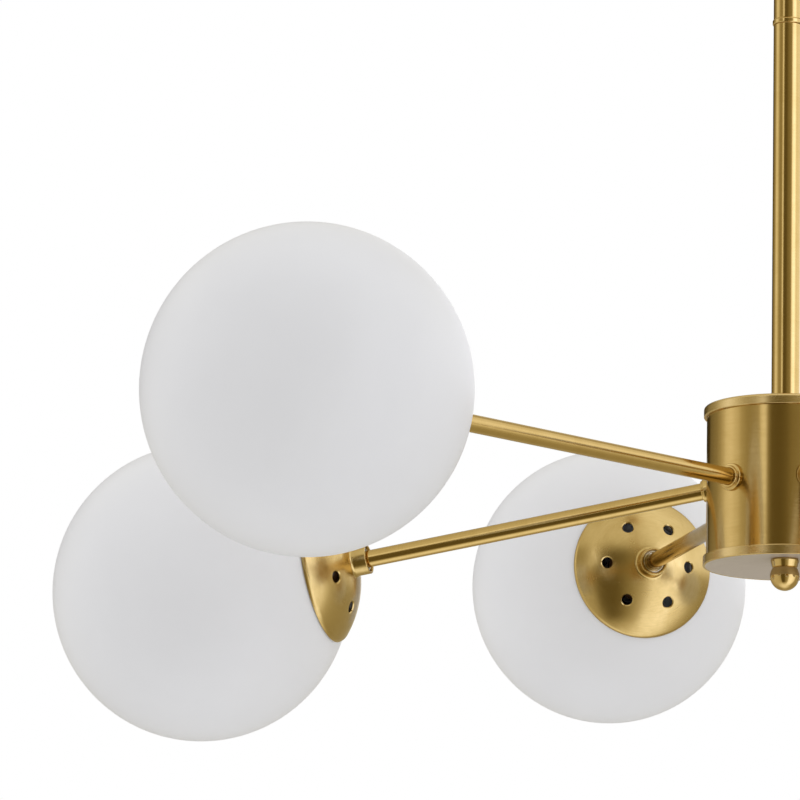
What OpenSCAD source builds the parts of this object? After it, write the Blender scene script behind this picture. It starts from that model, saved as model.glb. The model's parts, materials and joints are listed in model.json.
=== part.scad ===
// Six-arm branch chandelier with opal globes on a brass drum, millimetres.
// The origin is the centre of the canopy on the ceiling plane, with +Z up.
// Arms are spaced 60 degrees apart: odd arms are level and even arms droop.

/* [Globes] */
// Outside diameter of each glass globe
globe_d = 150; // [120:1:180]
// Thickness of the glass
glass_wall = 3; // [2:0.5:4]
// How far the globe's neck lies inside the cup's rim, measured on the radius
neck_inset = 10; // [9:0.5:12]
// Width of the ring of glass that forms the neck
neck_wall = 3; // [2:0.5:4]

/* [Arms] */
// Length of a level arm from the drum's wall to the globe's centre
level_reach = 278.5; // [200:0.5:340]
// Length of a drooping arm from the drum's wall to the globe's centre
droop_reach = 265.5; // [200:0.5:340]
// How far a drooping arm falls below level, in degrees
droop_angle = 9.5; // [4:0.5:14]
// Outside diameter of the arm tube
arm_d = 8.5; // [7.5:0.1:9.5]
// Bore of the arm tube
arm_bore = 6.3; // [5.5:0.1:7]
// How far each arm reaches into the drum
arm_tail = 10; // [9:0.5:12]
// Diameter of the flange of the ferrule where an arm leaves the drum
ferrule_d = 13.4; // [12:0.2:16]
// How far the ferrule's flange stands out of the drum
ferrule_h = 1.6; // [1.4:0.1:2.5]

/* [Cups] */
// Diameter of the cup's rim, which the globe seats in
cup_d = 76; // [70:1:86]
// Radius of the cup's back
dome_r = 80; // [70:1:100]
// Radius of the cup's rounded shoulder
shoulder_r = 12; // [10:0.5:14]
// Thickness of the spun brass
cup_wall = 1.2; // [0.8:0.1:1.8]
// Outside diameter of the collar at the back of the cup
collar_d = 15; // [14:0.2:17]
// Length of the collar
collar_len = 7.7; // [6:0.1:11]
// Diameter of a vent hole in the cup
vent_d = 5.8; // [4:0.2:7]
// Diameter of the circle that the vent holes lie on
vent_circle_d = 45.6; // [40:0.2:50]
// Number of vent holes in a cup
vent_count = 6; // [3:1:8]
// How far round a level arm's cup its first vent lies, in degrees from the lowest point
level_vent_turn = 30; // [0:1:60]
// How far round a drooping arm's cup its first vent lies, in degrees from the lowest point
droop_vent_turn = 3; // [0:1:60]

/* [Lampholders and bulbs] */
// Outside diameter of the lampholder
holder_d = 38; // [34:0.5:40]
// How far the lampholder reaches past the cup's rim into the globe
holder_reach = 28; // [22:1:34]
// Diameter of the bulb's glass
bulb_d = 45; // [38:1:45]
// Length of the bulb's glass that shows past the lampholder
bulb_len = 50; // [46:1:60]
// Diameter of the bulb's screw base
bulb_base_d = 26; // [24:0.5:27]
// Length of the bulb's screw base
bulb_base_len = 23; // [20:1:25]

/* [Drum] */
// Diameter of the drum's wall
drum_d = 77; // [70:1:90]
// Height of the drum over both caps
drum_h = 79; // [70:1:100]
// Thickness of the drum's wall
drum_wall = 1.5; // [1:0.1:2.5]
// Width of the band that each cap forms round the drum
band_h = 5; // [4:0.1:8]
// How far the caps stand proud of the drum's wall
band_proud = 1.5; // [1:0.1:2.5]
// Thickness of the caps' plates
plate_t = 2; // [1.5:0.1:3]
// How far the middle of the lower cap is dished upwards
dish_h = 4.3; // [2:0.1:6]
// Diameter of the ball at the end of the finial
finial_d = 14.4; // [13:0.2:20]

/* [Stem] */
// Diameter of the rods
rod_d = 14; // [13:0.5:18]
// Length of each rod
rod_len = 195; // [100:1:400]
// Height of the bead ring where the two rods meet
bead_h = 2.5; // [2:0.1:5]
// Diameter of the bead ring
bead_d = 15; // [14.5:0.1:20]
// Diameter of the threaded tube that joins the rods and the drum
nipple_d = 10; // [9.6:0.1:10.4]
// Diameter of the supply lead
lead_d = 6; // [4:0.1:6.2]

/* [Canopy and swivel] */
// Diameter of the canopy
canopy_d = 127; // [115:1:160]
// Depth of the canopy below the ceiling
canopy_h = 25; // [24:0.5:40]
// Thickness of the canopy's metal
canopy_wall = 1.2; // [0.8:0.1:2]
// Radius of the canopy's rounded corner
canopy_corner = 14; // [8:0.5:16]
// Distance of the swivel's pivot below the canopy
pivot_drop = 19; // [19:0.5:24]
// Length of the mounting strap
strap_len = 110; // [104:1:112]
// Width of the mounting strap
strap_w = 22; // [18:1:26]
// Thickness of the mounting strap
strap_t = 2.5; // [2:0.1:3]
// Distance between the middles of the strap's two slots
slot_spacing = 88.9; // [86:0.1:92]
// Length of a slot
slot_len = 10; // [8:0.5:11]
// Width of a slot
slot_w = 4.6; // [4:0.1:5.5]
// Distance between the two studs that carry the canopy
stud_spacing = 70; // [66:0.5:72]
// Diameter of a stud
stud_d = 4; // [3.5:0.1:4.4]

/* [Hidden] */
arm_count = 6;          // odd arms are level and even arms droop
ARMS = [1:arm_count];
SOLO_NODES = ["mounting_strap", "ground_screw", "canopy_studs", "stud_nuts", "canopy",
    "canopy_knobs", "supply_lead", "supply_connectors", "swivel_yoke", "swivel_nut",
    "pivot_screws", "swivel_tongue", "rod_collar", "upper_rod", "rod_joint", "lower_rod",
    "stem_lead", "drum_pipe", "drum_top_cap", "drum_shell", "drum_bottom_cap", "drum_nuts",
    "terminal_block", "finial", "arm_ferrules", "arm_locknuts", "arm_leads", "cup_nuts",
    "fitter_rings"];
$fn = 96;

// fits
thread_fit = 0.05;      // a screwed or pressed joint, on the radius
running_fit = 0.05;     // a turning joint, on the radius
turn_gap = 0.1;         // between faces that turn against each other
glass_gap = 0.3;        // between glass and metal
lead_gap = 0.3;         // round a lead in its bore
cut = 1;                // how far a cutting shape runs past the face that it cuts
sink = 1;               // how far a detail runs into the piece that it is part of
arc_steps = 14;
arm_turn = 360 / arm_count;

// globe and cup, measured along the arm from the cup's rim back towards the drum ("depth")
globe_r = globe_d / 2;
cup_r = cup_d / 2;
collar_r = collar_d / 2;
rim_land = 0.4;          // flat edge left where the globe's seat cuts the rim
rim_to_centre = sqrt(pow(globe_r + glass_gap, 2) - pow(cup_r - rim_land, 2));
shoulder_in = cup_r - shoulder_r;
dome_c = -sqrt(pow(dome_r - shoulder_r, 2) - pow(shoulder_in, 2));
shoulder_turn = atan2(-dome_c, shoulder_in);
collar_foot = dome_depth(collar_r, 0);
collar_face = collar_foot + collar_len;
blend_r = 1.6;
blend_sink = 0.2;
neck_r = cup_r - neck_inset;
neck_gap = 1;            // between the neck's end and the cup
neck_end = min(dome_depth(neck_r, cup_wall), shoulder_depth(neck_r, cup_wall)) - neck_gap;
bore_run = 10;           // how far past the rim the neck's bore is cut
ring_t = 4;
ring_fit = 0.1;
nut_recess = 1.4;
nut_t = 2.6;
vent_chamfer = 0.5;

// lampholder
holder_r = holder_d / 2;
holder_foot_r = 14;
holder_edge = 1;
holder_cone = 10;
holder_foot = dome_depth(holder_foot_r, cup_wall) - ring_fit;
socket_fit = 0.2;
socket_r = bulb_base_d / 2 + socket_fit;
socket_depth = bulb_base_len + holder_edge;
arm_seat = 6;
bulb_waist = 1.5;        // the bulb's neck is this much slimmer than its base
arm_r = arm_d / 2;
arm_bore_r = arm_bore / 2;
arm_lead_r = arm_bore_r - lead_gap;

// drum
drum_r = drum_d / 2;
drum_in = drum_r - drum_wall;
cap_r = drum_r + band_proud;
cap_fit = 0.1;
band_edge = 1.4;
band_chamfer = 0.3;
half_h = drum_h / 2;
dish_r = (pow(cap_r, 2) + pow(dish_h, 2)) / (2 * dish_h);
dish_plate = 1.5;
nipple_r = nipple_d / 2;
lead_r = lead_d / 2;
pipe_bore_r = lead_r + lead_gap;
pipe_in_rod = 14;
window_turn = 30;        // the window faces between two arms
nut_af = 15;
nut_h = 4.5;
locknut_af = 12;
locknut_len = 4.5;
block_r = 17;
block_pad = 4;
lead_drop = droop_rise(drum_r - block_r);
flare_r = 7;             // the finial's collar where it meets the lower cap
flare_h = 1.6;
flare_edge = 0.4;
waist_r = 6.15;
waist_groove = 0.6;
ball_drop = 8.4;
finial_r = finial_d / 2;
finial_stud = 14;
ferrule_root = 3;        // how far the ferrule's flange reaches back into the drum's curve
ferrule_edge = 0.5;
ferrule_bead_h = 1.3;
ferrule_bead_t = 1.1;
ferrule_bead_r = arm_r + ferrule_bead_t;
lead_tail = 3;

// heights below the ceiling
canopy_r = canopy_d / 2;
pivot_z = -canopy_h - pivot_drop;
rod_r = rod_d / 2;
rod_bore_r = nipple_r + thread_fit;
tongue_len = 16;
collar_ring_h = 6;
collar_ring_t = 1.5;
collar_ring_r = rod_r + collar_ring_t;
upper_top = pivot_z - tongue_len;
upper_end = upper_top - rod_len;
lower_top = upper_end - bead_h;
lower_end = lower_top - rod_len;
arm_z = lower_end - half_h;
spigot_len = 12;

// swivel
cheek_t = 2.6;
slot_gap = 0.4;
slot_half = lead_r + slot_gap;
cheek_out = slot_half + cheek_t;
ear_gap = 0.2;
ear_in = cheek_out + ear_gap;
ear_t = 4;
ear_r = 7;
cheek_r = 6.5;
pivot_r = 2;
pivot_head_r = 3.2;
pivot_head_h = 1.6;
flange_r = 14;
flange_h = 3;
yoke_neck = 8;
body_drop = 8;
stub_len = 12;
swivel_nut_h = 4;
elbow_rise = lead_r + lead_gap;
elbow_run = 12;
connector_len = 16;
connector_r = 5.5;
connector_tip_r = 3.5;

// canopy hardware
stud_r = stud_d / 2;
stud_nut_af = 7;
stud_nut_h = 3;
knob_r = 5;
knob_h = 5;
stud_out = 6;
ground_x = 20;
ground_head_r = 3.4;
ground_head_h = 2.4;

brass = [0.72, 0.58, 0.30];
deep_brass = [0.60, 0.47, 0.22];
nickel = [0.74, 0.73, 0.70];
opal = [0.93, 0.93, 0.94];
ceramic = [0.90, 0.88, 0.83];
frosted = [0.97, 0.95, 0.88];
zinc = [0.62, 0.64, 0.66];

// how far back the cup's dome lies at a radius, for a surface set in by a thickness
function dome_depth(r, inset) = dome_c + sqrt(pow(dome_r - inset, 2) - pow(r, 2));
function shoulder_depth(r, inset) =
    r < shoulder_in ? dome_depth(r, inset)
    : sqrt(max(0, pow(shoulder_r - inset, 2) - pow(r - shoulder_in, 2)));
// how far a drooping arm has risen after running back towards the axis
function droop_rise(run) = run * tan(droop_angle);
function droops(i) = i % 2 == 0;
function tilt(i) = droops(i) ? droop_angle : 0;
function reach(i) = droops(i) ? droop_reach : level_reach;
function rim_at(i) = reach(i) - rim_to_centre;
function vent_turn(i) = droops(i) ? droop_vent_turn : level_vent_turn;
function arc(cx, cy, r, from, to) =
    [for (k = [0:arc_steps]) let (a = from + (to - from) * k / arc_steps)
        [cx + r * cos(a), cy + r * sin(a)]];

// places: at_arm has +Z along the arm from the drum's wall, at_rim from the cup's rim
module at_arm(i) {
    translate([0, 0, arm_z])
        rotate([0, 0, arm_turn * (i - 1)])
            translate([drum_r, 0, 0])
                rotate([0, 90 + tilt(i), 0])
                    children();
}

module at_rim(i) {
    at_arm(i)
        translate([0, 0, rim_at(i)])
            children();
}

module at_arms() {
    for (i = ARMS)
        at_arm(i) children();
}

module at_rims() {
    for (i = ARMS)
        at_rim(i) children();
}

module tube(r_out, r_in, low, high) {
    difference() {
        translate([0, 0, low]) cylinder(r = r_out, h = high - low);
        translate([0, 0, low - cut]) cylinder(r = r_in, h = high - low + 2 * cut);
    }
}

module hex_nut(across, bore_r, h) {
    difference() {
        cylinder(d = across / cos(30), h = h, $fn = 6);
        translate([0, 0, -cut]) cylinder(r = bore_r, h = h + 2 * cut);
    }
}

// ceiling plate and canopy

module mounting_strap() {
    color(zinc)
        difference() {
            translate([-strap_len / 2, -strap_w / 2, -strap_t])
                cube([strap_len, strap_w, strap_t]);
            for (side = [-1, 1]) {
                translate([side * slot_spacing / 2, 0, -strap_t - cut])
                    strap_slot();
                translate([side * stud_spacing / 2, 0, -strap_t - cut])
                    cylinder(r = stud_r + thread_fit, h = strap_t + 2 * cut, $fn = 32);
            }
            translate([ground_x, 0, -strap_t - cut])
                cylinder(r = stud_r + thread_fit, h = strap_t + 2 * cut, $fn = 32);
        }
}

module strap_slot() {
    run = slot_len / 2 - slot_w / 2;
    for (end = [-run, run])
        translate([end, 0, 0])
            cylinder(d = slot_w, h = strap_t + 2 * cut, $fn = 32);
    translate([-run, -slot_w / 2, 0])
        cube([2 * run, slot_w, strap_t + 2 * cut]);
}

module ground_screw() {
    color("seagreen")
        translate([ground_x, 0, -strap_t]) {
            cylinder(r = stud_r, h = strap_t - ring_fit, $fn = 32);
            translate([0, 0, -ground_head_h])
                cylinder(r = ground_head_r, h = ground_head_h, $fn = 32);
        }
}

module canopy_studs() {
    color(zinc)
        for (side = [-1, 1])
            translate([side * stud_spacing / 2, 0, -canopy_h - stud_out])
                cylinder(r = stud_r, h = canopy_h + stud_out - ring_fit, $fn = 32);
}

module stud_nuts() {
    color(zinc)
        for (side = [-1, 1])
            translate([side * stud_spacing / 2, 0, -strap_t - stud_nut_h])
                hex_nut(stud_nut_af, stud_r + thread_fit, stud_nut_h);
}

module canopy() {
    inner_corner = canopy_corner - canopy_wall;
    edge = canopy_r - canopy_corner;
    low = canopy_corner - canopy_h;
    color(brass)
        difference() {
            rotate_extrude()
                polygon(concat(
                    [[0, -canopy_h]],
                    arc(edge, low, canopy_corner, -90, 0),
                    [[canopy_r, 0], [canopy_r - canopy_wall, 0]],
                    arc(edge, low, inner_corner, 0, -90),
                    [[0, canopy_wall - canopy_h]]));
            translate([0, 0, -canopy_h - cut])
                cylinder(r = nipple_r + running_fit, h = canopy_wall + 2 * cut);
            for (side = [-1, 1])
                translate([side * stud_spacing / 2, 0, -canopy_h - cut])
                    cylinder(r = stud_r + thread_fit, h = canopy_wall + 2 * cut, $fn = 32);
        }
}

module canopy_knobs() {
    color(brass)
        for (side = [-1, 1])
            translate([side * stud_spacing / 2, 0, -canopy_h])
                difference() {
                    union() {
                        translate([0, 0, -knob_h]) cylinder(r = knob_r, h = knob_h, $fn = 48);
                        translate([0, 0, -knob_h]) sphere(r = knob_r, $fn = 48);
                    }
                    translate([0, 0, -stud_out - ring_fit])
                        cylinder(r = stud_r + thread_fit, h = stud_out + cut, $fn = 32);
                }
}

// the lead comes up out of the swivel and lies along the canopy's floor
module supply_lead() {
    low = pivot_z + lead_r + lead_gap;
    top = -canopy_h + canopy_wall + yoke_neck + elbow_rise;
    color("ivory") {
        translate([0, 0, low]) cylinder(r = lead_r, h = top - low);
        translate([0, 0, top]) sphere(r = lead_r);
        translate([0, 0, top]) rotate([-90, 0, 0]) cylinder(r = lead_r, h = elbow_run);
    }
}

module supply_connectors() {
    top = -canopy_h + canopy_wall + yoke_neck + elbow_rise;
    color("orange")
        for (side = [-1, 1])
            translate([side * (connector_r + ring_fit), elbow_run, top])
                rotate([-90, 0, 0])
                    cylinder(r1 = connector_tip_r, r2 = connector_r, h = connector_len);
}

// swivel

module swivel_yoke() {
    top = -canopy_h - turn_gap;
    color(brass)
        difference() {
            union() {
                translate([0, 0, top - flange_h]) cylinder(r = flange_r, h = flange_h);
                translate([0, 0, top - sink])
                    cylinder(r = nipple_r, h = sink + turn_gap + canopy_wall + yoke_neck);
                for (side = [-1, 1])
                    yoke_ear(side, top - flange_h);
            }
            translate([0, 0, top - flange_h - cut])
                cylinder(r = pipe_bore_r, h = flange_h + canopy_wall + yoke_neck + 2 * cut);
            translate([-ear_in - ear_t - cut, 0, pivot_z])
                rotate([0, 90, 0])
                    cylinder(r = pivot_r + thread_fit, h = 2 * (ear_in + ear_t + cut), $fn = 48);
        }
}

module yoke_ear(side, top) {
    translate([side > 0 ? ear_in : -ear_in - ear_t, 0, pivot_z]) {
        rotate([0, 90, 0]) cylinder(r = ear_r, h = ear_t);
        translate([0, -ear_r, 0]) cube([ear_t, 2 * ear_r, top - pivot_z + sink]);
    }
}

module swivel_nut() {
    color(zinc)
        translate([0, 0, -canopy_h + canopy_wall + turn_gap])
            hex_nut(nut_af, nipple_r + thread_fit, swivel_nut_h);
}

module pivot_screws() {
    shank = cheek_out - slot_half + ear_gap + ear_t - turn_gap;
    color(deep_brass)
        for (side = [-1, 1])
            translate([0, 0, pivot_z])
                rotate([0, side * 90, 0])
                    translate([0, 0, slot_half + turn_gap]) {
                        cylinder(r = pivot_r, h = shank, $fn = 48);
                        translate([0, 0, shank])
                            cylinder(r = pivot_head_r, h = pivot_head_h, $fn = 48);
                    }
}

module swivel_tongue() {
    bottom = upper_top - stub_len;
    color(brass)
        difference() {
            union() {
                for (side = [-1, 1])
                    tongue_cheek(side);
                translate([0, 0, upper_top])
                    cylinder(r = rod_r, h = tongue_len - body_drop);
                translate([0, 0, bottom])
                    cylinder(r = nipple_r, h = stub_len + sink);
            }
            translate([0, 0, bottom - cut])
                cylinder(r = pipe_bore_r, h = stub_len + tongue_len + cut);
            translate([-cheek_out - cut, 0, pivot_z])
                rotate([0, 90, 0])
                    cylinder(r = pivot_r + running_fit, h = 2 * (cheek_out + cut), $fn = 48);
        }
}

module tongue_cheek(side) {
    translate([side > 0 ? slot_half : -cheek_out, 0, pivot_z]) {
        rotate([0, 90, 0]) cylinder(r = cheek_r, h = cheek_t);
        translate([0, -cheek_r / 2, -body_drop - sink])
            cube([cheek_t, cheek_r, body_drop + sink]);
    }
}

// stem

module rod_collar() {
    color(deep_brass)
        tube(collar_ring_r, rod_r + thread_fit, upper_top - collar_ring_h, upper_top);
}

module upper_rod() {
    color(brass)
        tube(rod_r, rod_bore_r, upper_end, upper_top);
}

module rod_joint() {
    bead_edge = 0.5;
    color(brass)
        difference() {
            union() {
                rotate_extrude()
                    translate([0, lower_top])
                        polygon([[0, 0], [bead_d / 2 - bead_edge, 0], [bead_d / 2, bead_edge],
                            [bead_d / 2, bead_h - bead_edge], [bead_d / 2 - bead_edge, bead_h],
                            [0, bead_h]]);
                translate([0, 0, lower_top - spigot_len])
                    cylinder(r = nipple_r, h = 2 * spigot_len + bead_h);
            }
            translate([0, 0, lower_top - spigot_len - cut])
                cylinder(r = pipe_bore_r, h = 2 * (spigot_len + cut) + bead_h);
        }
}

module lower_rod() {
    color(brass)
        tube(rod_r, rod_bore_r, lower_end, lower_top);
}

// the lead runs down the stem and turns out through the pipe's window
module stem_lead() {
    color("ivory") {
        translate([0, 0, arm_z]) cylinder(r = lead_r, h = pivot_z - arm_z);
        translate([0, 0, pivot_z]) sphere(r = lead_r);
        translate([0, 0, arm_z]) sphere(r = lead_r);
        intersection() {
            translate([0, 0, arm_z])
                rotate([0, 90, window_turn])
                    cylinder(r = lead_r, h = 2 * nipple_r);
            translate([0, 0, arm_z - lead_d])
                cylinder(r = nipple_r + thread_fit, h = 2 * lead_d);
        }
    }
}

// drum

module drum_pipe() {
    low = arm_z - half_h + dish_h;
    high = lower_end + pipe_in_rod;
    color(zinc)
        difference() {
            tube(nipple_r, pipe_bore_r, low, high);
            translate([0, 0, arm_z])
                rotate([0, 90, window_turn])
                    cylinder(r = pipe_bore_r, h = nipple_r + cut);
        }
}

module drum_top_cap() {
    top = arm_z + half_h;
    low = top - band_h;
    color(brass)
        difference() {
            rotate_extrude()
                polygon(concat(
                    [[0, top]],
                    arc(cap_r - band_edge, top - band_edge, band_edge, 90, 0),
                    [[cap_r, low + band_chamfer], [cap_r - band_chamfer, low],
                        [drum_r + cap_fit, low], [drum_r + cap_fit, top - plate_t],
                        [0, top - plate_t]]));
            translate([0, 0, top - plate_t - cut])
                cylinder(r = nipple_r + thread_fit, h = plate_t + 2 * cut);
        }
}

module drum_shell() {
    low = arm_z - half_h + dish_height(drum_in) + dish_plate + cap_fit;
    high = arm_z + half_h - plate_t;
    color(brass)
        difference() {
            tube(drum_r, drum_in, low, high);
            for (i = ARMS)
                at_arm(i)
                    translate([0, 0, -arm_tail])
                        cylinder(r = arm_r + thread_fit, h = arm_tail + ferrule_root + cut);
        }
}

// height of the dished plate above the drum's lower edge at a radius
function dish_height(r) = dish_h - dish_r + sqrt(pow(dish_r, 2) - pow(r, 2));

module drum_bottom_cap() {
    low = arm_z - half_h;
    rim = drum_r + cap_fit;
    dish_edge = cap_r - 2 * band_chamfer;
    steps = 10;
    color(deep_brass)
        difference() {
            rotate_extrude()
                polygon(concat(
                    [for (k = [0:steps]) let (r = dish_edge * k / steps)
                        [r, low + dish_height(r)]],
                    [[cap_r - band_chamfer, low], [cap_r, low + band_chamfer],
                        [cap_r, low + band_h], [rim, low + band_h]],
                    [for (k = [steps:-1:0]) let (r = rim * k / steps)
                        [r, low + dish_height(r) + dish_plate]]));
            translate([0, 0, low])
                cylinder(r = nipple_r + thread_fit, h = dish_h + dish_plate + cut);
        }
}

module drum_nuts() {
    color(zinc) {
        translate([0, 0, arm_z + half_h - plate_t - nut_h])
            hex_nut(nut_af, nipple_r + thread_fit, nut_h);
        translate([0, 0, arm_z - half_h + dish_h + dish_plate])
            hex_nut(nut_af, nipple_r + thread_fit, nut_h);
    }
}

module terminal_block() {
    color(ceramic)
        tube(block_r, nipple_r + 2 * thread_fit,
            arm_z - block_pad, arm_z + lead_drop + block_pad);
}

module finial() {
    top = arm_z - half_h + dish_height(flare_r);
    ball_z = top - ball_drop;
    groove_r = waist_r - waist_groove;
    waist_z = ball_z + sqrt(pow(finial_r, 2) - pow(waist_r, 2)) + waist_groove;
    color(brass) {
        rotate_extrude()
            polygon([[0, ball_z], [groove_r, ball_z], [groove_r, waist_z - waist_groove],
                [waist_r, waist_z], [flare_r - flare_edge / 2, top - flare_h],
                [flare_r, top - flare_h / 2], [flare_r - flare_edge, top], [0, top]]);
        translate([0, 0, ball_z]) sphere(r = finial_r);
        translate([0, 0, top - sink])
            cylinder(r = pipe_bore_r - thread_fit, h = finial_stud + sink);
    }
}

// arms

module arm_ferrules() {
    bore = arm_r + thread_fit;
    flange = ferrule_d / 2;
    top = ferrule_h + ferrule_bead_h;
    color(brass)
        for (i = ARMS)
            difference() {
                at_arm(i)
                    rotate_extrude()
                        polygon([[bore, -ferrule_root], [flange, -ferrule_root],
                            [flange, ferrule_h - ferrule_edge], [flange - ferrule_edge, ferrule_h],
                            [ferrule_bead_r, ferrule_h], [ferrule_bead_r, top - ferrule_edge],
                            [ferrule_bead_r - ferrule_edge, top], [bore, top]]);
                translate([0, 0, arm_z - half_h])
                    cylinder(r = drum_r + ring_fit / 2, h = drum_h);
            }
}

module arm_locknuts() {
    color(zinc)
        for (i = ARMS)
            intersection() {
                at_arm(i)
                    translate([0, 0, -drum_wall - locknut_len])
                        hex_nut(locknut_af, arm_r + thread_fit, locknut_len + drum_wall);
                translate([0, 0, arm_z - half_h])
                    cylinder(r = drum_in - ring_fit / 2, h = drum_h);
            }
}

module arm_leads() {
    color("ivory")
        difference() {
            for (i = ARMS)
                at_arm(i)
                    translate([0, 0, block_r - drum_r - lead_tail])
                        cylinder(r = arm_lead_r,
                            h = rim_at(i) - arm_end_depth() + drum_r - block_r + lead_tail,
                            $fn = 32);
            translate([0, 0, arm_z - half_h])
                cylinder(r = block_r + ring_fit / 2, h = drum_h);
        }
}

// the arm ends this far back from the cup's rim
function arm_end_depth() = holder_foot - arm_seat;

module arm(i) {
    color(brass)
        at_arm(i)
            tube(arm_r, arm_bore_r, -arm_tail, rim_at(i) - arm_end_depth());
}

// half of the cup's section, set in by a thickness and run past both ends to cut with
module cup_outline(inset, past) {
    mouth = collar_r - inset;
    polygon(concat(
        [[0, past], [cup_r - inset, past]],
        [for (p = arc(shoulder_in, 0, shoulder_r - inset, 0, shoulder_turn)) [p[0], -p[1]]],
        [for (k = [1:arc_steps])
            let (r = shoulder_in + (shoulder_r - inset) * cos(shoulder_turn))
            let (q = r + (mouth - r) * k / arc_steps)
                [q, -dome_depth(q, inset)]],
        [[mouth, -collar_face - past], [0, -collar_face - past]]));
}

module cup(i) {
    color(brass)
        at_rim(i)
            difference() {
                union() {
                    rotate_extrude() cup_outline(0, 0);
                    collar_blend();
                }
                rotate_extrude() cup_outline(cup_wall, cut);
                translate([0, 0, rim_to_centre]) sphere(r = globe_r + glass_gap);
                for (k = [1:vent_count])
                    rotate([0, 0, vent_turn(i) + 360 / vent_count * k])
                        vent();
            }
}

// concave ring where the dome runs into the collar
module collar_blend() {
    foot = dome_depth(collar_r + blend_r, 0);
    inner = collar_r - blend_sink;
    rotate_extrude()
        polygon(concat(
            [[inner, blend_sink - foot], [inner, -foot - blend_r]],
            [for (p = arc(collar_r + blend_r, -foot - blend_r, blend_r, 180, 90)) p],
            [[collar_r + blend_r, blend_sink - foot]]));
}

// a vent is square to the dome where it breaks through
module vent() {
    r = vent_circle_d / 2;
    depth = dome_depth(r, 0);
    lean = asin(r / dome_r);
    translate([r, 0, -depth])
        rotate([0, 180 - lean, 0]) {
            translate([0, 0, -cup_wall - cut])
                cylinder(d = vent_d, h = cup_wall + 2 * cut, $fn = 40);
            translate([0, 0, -vent_chamfer])
                cylinder(d1 = vent_d, d2 = vent_d + 4 * vent_chamfer, h = 2 * vent_chamfer,
                    $fn = 40);
        }
}

module cup_nuts() {
    color(nickel)
        at_rims()
            tube(collar_r - cup_wall - thread_fit, arm_r + thread_fit,
                nut_recess - collar_face, nut_recess + nut_t - collar_face);
}

module fitter_rings() {
    color(nickel)
        at_rims()
            intersection() {
                rotate_extrude() cup_outline(cup_wall + ring_fit, 0);
                tube(cup_r, neck_r + glass_gap, -neck_end, ring_t - neck_end);
            }
}

module lampholder(i) {
    color(ceramic)
        at_rim(i)
            difference() {
                rotate_extrude()
                    polygon([[0, -holder_foot], [holder_foot_r, -holder_foot],
                        [holder_r, holder_cone - holder_foot],
                        [holder_r, holder_reach - holder_edge],
                        [holder_r - holder_edge, holder_reach],
                        [socket_r, holder_reach], [socket_r, holder_reach - socket_depth],
                        [0, holder_reach - socket_depth]]);
                translate([0, 0, -holder_foot - cut])
                    cylinder(r = arm_r + thread_fit, h = arm_seat + cut);
            }
}

module bulb(i) {
    glass_r = bulb_d / 2;
    ball_z = holder_reach + bulb_len - glass_r;
    neck = bulb_base_d / 2 - bulb_waist;
    color(frosted)
        at_rim(i) {
            translate([0, 0, ball_z]) sphere(r = glass_r);
            translate([0, 0, holder_reach - bulb_base_len])
                cylinder(r = bulb_base_d / 2, h = bulb_base_len);
            translate([0, 0, holder_reach - sink])
                cylinder(r = neck, h = ball_z - holder_reach + sink);
        }
}

module globe(i) {
    color(opal)
        at_rim(i)
            difference() {
                union() {
                    translate([0, 0, rim_to_centre]) sphere(r = globe_r);
                    translate([0, 0, -neck_end + turn_gap])
                        cylinder(r = neck_r, h = neck_end + bore_run);
                }
                translate([0, 0, rim_to_centre]) sphere(r = globe_r - glass_wall);
                translate([0, 0, -neck_end - cut])
                    cylinder(r = neck_r - neck_wall, h = neck_end + bore_run + 2 * cut);
            }
}

mounting_strap();
ground_screw();
canopy_studs();
stud_nuts();
canopy();
canopy_knobs();
supply_lead();
supply_connectors();
swivel_yoke();
swivel_nut();
pivot_screws();
swivel_tongue();
rod_collar();
upper_rod();
rod_joint();
lower_rod();
stem_lead();
drum_pipe();
drum_top_cap();
drum_shell();
drum_bottom_cap();
drum_nuts();
terminal_block();
finial();
arm_ferrules();
arm_locknuts();
arm_leads();
cup_nuts();
fitter_rings();
for (i = ARMS) {
    arm(i);
    cup(i);
    lampholder(i);
    bulb(i);
    globe(i);
}
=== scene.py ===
# Branch chandelier with opal globes: studio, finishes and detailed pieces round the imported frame.
# Places are metres with +Z up. Sizes in the pieces' dictionaries are millimetres, times mm in use.
import json
import math

import bmesh
import bpy
from mathutils import Matrix, Vector


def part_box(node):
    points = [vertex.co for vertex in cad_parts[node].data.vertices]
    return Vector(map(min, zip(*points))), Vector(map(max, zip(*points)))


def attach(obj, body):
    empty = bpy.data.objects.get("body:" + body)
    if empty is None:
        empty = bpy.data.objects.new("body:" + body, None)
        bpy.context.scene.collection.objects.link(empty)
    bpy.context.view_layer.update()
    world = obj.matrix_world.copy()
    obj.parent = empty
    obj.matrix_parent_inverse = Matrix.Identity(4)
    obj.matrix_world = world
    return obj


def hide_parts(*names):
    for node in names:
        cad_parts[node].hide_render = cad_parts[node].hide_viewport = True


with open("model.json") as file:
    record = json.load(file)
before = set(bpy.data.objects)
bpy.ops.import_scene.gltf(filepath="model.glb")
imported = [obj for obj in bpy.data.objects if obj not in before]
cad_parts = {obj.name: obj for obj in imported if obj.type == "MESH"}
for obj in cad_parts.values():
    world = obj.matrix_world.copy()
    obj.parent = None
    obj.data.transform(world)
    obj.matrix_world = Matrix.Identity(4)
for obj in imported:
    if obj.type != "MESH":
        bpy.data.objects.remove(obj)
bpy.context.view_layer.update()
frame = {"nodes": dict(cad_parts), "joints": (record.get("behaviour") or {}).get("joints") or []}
nodes = frame["nodes"]
mm = 0.001
armNumbers = range(1, 7)


# camera at the photograph's viewpoint, a little below the globes
viewpoint = {
    "place": (0.5140, -2.3586, -0.9386),
    "right": (0.95835, 0.28486, 0.02071),
    "up": (0.03701, -0.19576, 0.97995),
    "lens": 225,
    "sensor": 36,
    "clip": (0.05, 40),
}


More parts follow.
